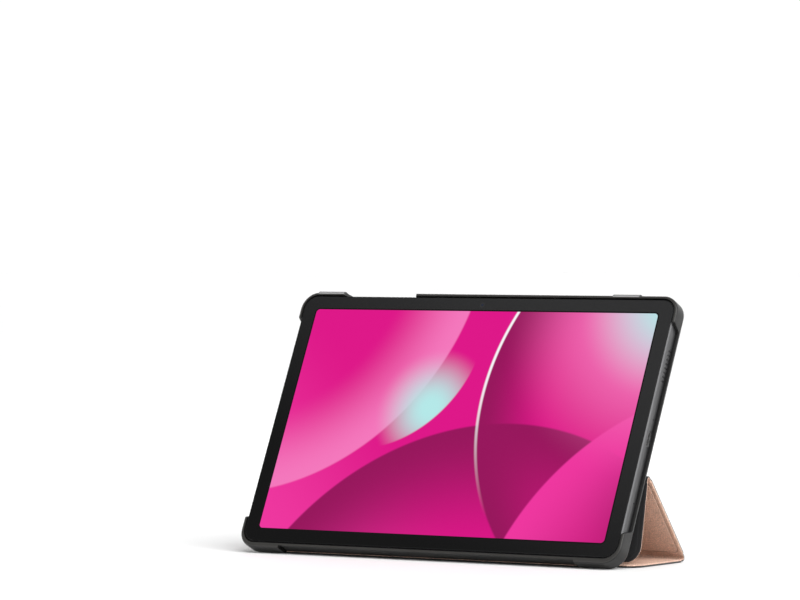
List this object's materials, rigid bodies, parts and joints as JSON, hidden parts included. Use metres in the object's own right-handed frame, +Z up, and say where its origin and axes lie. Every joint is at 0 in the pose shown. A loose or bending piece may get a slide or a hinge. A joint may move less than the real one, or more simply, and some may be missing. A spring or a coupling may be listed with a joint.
{
  "type": "tablet computer",
  "caption": "Tablet computer with a wide screen bezel, standing in a hard tray case whose tri-fold leather cover is folded into a prism that props it up.",
  "frame": {"origin": "on the table, in the middle of the footprint", "axes": "+X along the tablet's long side, +Y away from the reader, +Z up"},
  "size_m": [0.2486, 0.0759, 0.1463],
  "materials": {
    "shell_plastic": "fine brushed texture",
    "leather": "rose gold, fine pebble grain",
    "lining": "black microfibre",
    "cover_board": "raw",
    "magnet": "nickel plated",
    "glass": "polished",
    "display": "lit picture",
    "adhesive": "matt",
    "frame_metal": "dark grey, bead blasted",
    "back_metal": "dark grey, bead blasted",
    "battery_foil": "wrapped foil",
    "circuit_board": "solder mask",
    "can_metal": "tinned",
    "copper": "rolled copper",
    "flex": "amber film",
    "black_plastic": "fine spark",
    "lens_glass": "coated",
    "steel": "plain"
  },
  "bodies": {
    "case": {"case_shell": "shell_plastic", "spine_anchor_flap": "leather"},
    "spine": {"spine_leather": "leather", "spine_lining": "lining"},
    "inner_panel": {"inner_panel_leather": "leather", "inner_panel_board": "cover_board", "inner_panel_lining": "lining", "stand_magnet_inner": "magnet"},
    "middle_panel": {"middle_panel_leather": "leather", "middle_panel_board": "cover_board", "middle_panel_lining": "lining"},
    "outer_panel": {"outer_panel_leather": "leather", "outer_panel_board": "cover_board", "outer_panel_lining": "lining", "stand_magnet_outer": "magnet", "wake_magnet": "magnet"},
    "tablet": {"midframe": "frame_metal", "rear_cover": "back_metal", "front_glass": "glass", "glass_adhesive": "adhesive", "display_panel": "display", "rear_camera_ring": "back_metal", "rear_camera_lens": "lens_glass", "rear_camera_module": "black_plastic", "front_camera_module": "black_plastic", "battery_cell_left": "battery_foil", "battery_cell_right": "battery_foil", "battery_board": "circuit_board", "battery_flex": "flex", "main_board": "circuit_board", "shield_can_processor": "can_metal", "shield_can_power": "can_metal", "shield_can_radio": "can_metal", "heat_spreader": "copper", "sub_board": "circuit_board", "usb_c_port": "steel", "board_link_flex": "flex", "display_flex": "flex", "main_board_screw_1": "steel", "main_board_screw_2": "steel", "main_board_screw_3": "steel", "main_board_screw_4": "steel", "sub_board_screw_1": "steel", "sub_board_screw_2": "steel", "speaker_right": "black_plastic", "speaker_left": "black_plastic", "microphone_upper": "can_metal", "microphone_lower": "can_metal", "antenna_upper": "flex", "antenna_lower": "flex", "key_bracket": "steel", "key_flex": "flex", "power_switch": "black_plastic", "volume_up_switch": "black_plastic", "volume_down_switch": "black_plastic", "card_reader": "steel"},
    "power_button": {"power_button": "frame_metal"},
    "volume_rocker": {"volume_rocker": "frame_metal"},
    "card_tray": {"card_tray": "frame_metal"}
  },
  "joints": [
    {"name": "spine_crease", "type": "hinge", "parent": "case", "child": "spine", "pos_m": [0, -0.02991, 0.0006], "axis": [1, 0, 0], "range_deg": [-205.6, 0]},
    {"name": "inner_panel_crease", "type": "hinge", "parent": "spine", "child": "inner_panel", "pos_m": [0, -0.02001, 0.0006], "axis": [1, 0, 0], "range_deg": [-90, 0]},
    {"name": "middle_panel_crease", "type": "hinge", "parent": "inner_panel", "child": "middle_panel", "pos_m": [0, 0.03319, 0.0026], "axis": [1, 0, 0], "range_deg": [-130, 0]},
    {"name": "outer_panel_crease", "type": "hinge", "parent": "middle_panel", "child": "outer_panel", "pos_m": [0, -0.0041, 0.04703], "axis": [1, 0, 0], "range_deg": [-128.9, 0]},
    {"name": "tablet_slide", "type": "slide", "parent": "case", "child": "tablet", "axis": [0, -0.9018, 0.4321], "range_m": [0, 0.03]},
    {"name": "power_press", "type": "slide", "parent": "tablet", "child": "power_button", "axis": [0, -0.4321, -0.9018], "range_m": [0, 0.0003], "stiffness_N_per_m": 500},
    {"name": "volume_rock", "type": "hinge", "parent": "tablet", "child": "volume_rocker", "pos_m": [-0.08, 0.03214, 0.13891], "axis": [0, -0.9018, 0.4321], "range_deg": [-1.2, 1.2], "stiffness_Nm_per_rad": 0.02},
    {"name": "card_tray_slide", "type": "slide", "parent": "tablet", "child": "card_tray", "axis": [-1, 0, 0], "range_m": [0, 0.016]}
  ],
  "couplings": [
    {"joint": "inner_panel_crease", "follows": "spine_crease", "ratio": 0.43774},
    {"joint": "middle_panel_crease", "follows": "spine_crease", "ratio": 0.63229},
    {"joint": "outer_panel_crease", "follows": "spine_crease", "ratio": 0.62694}
  ]
}
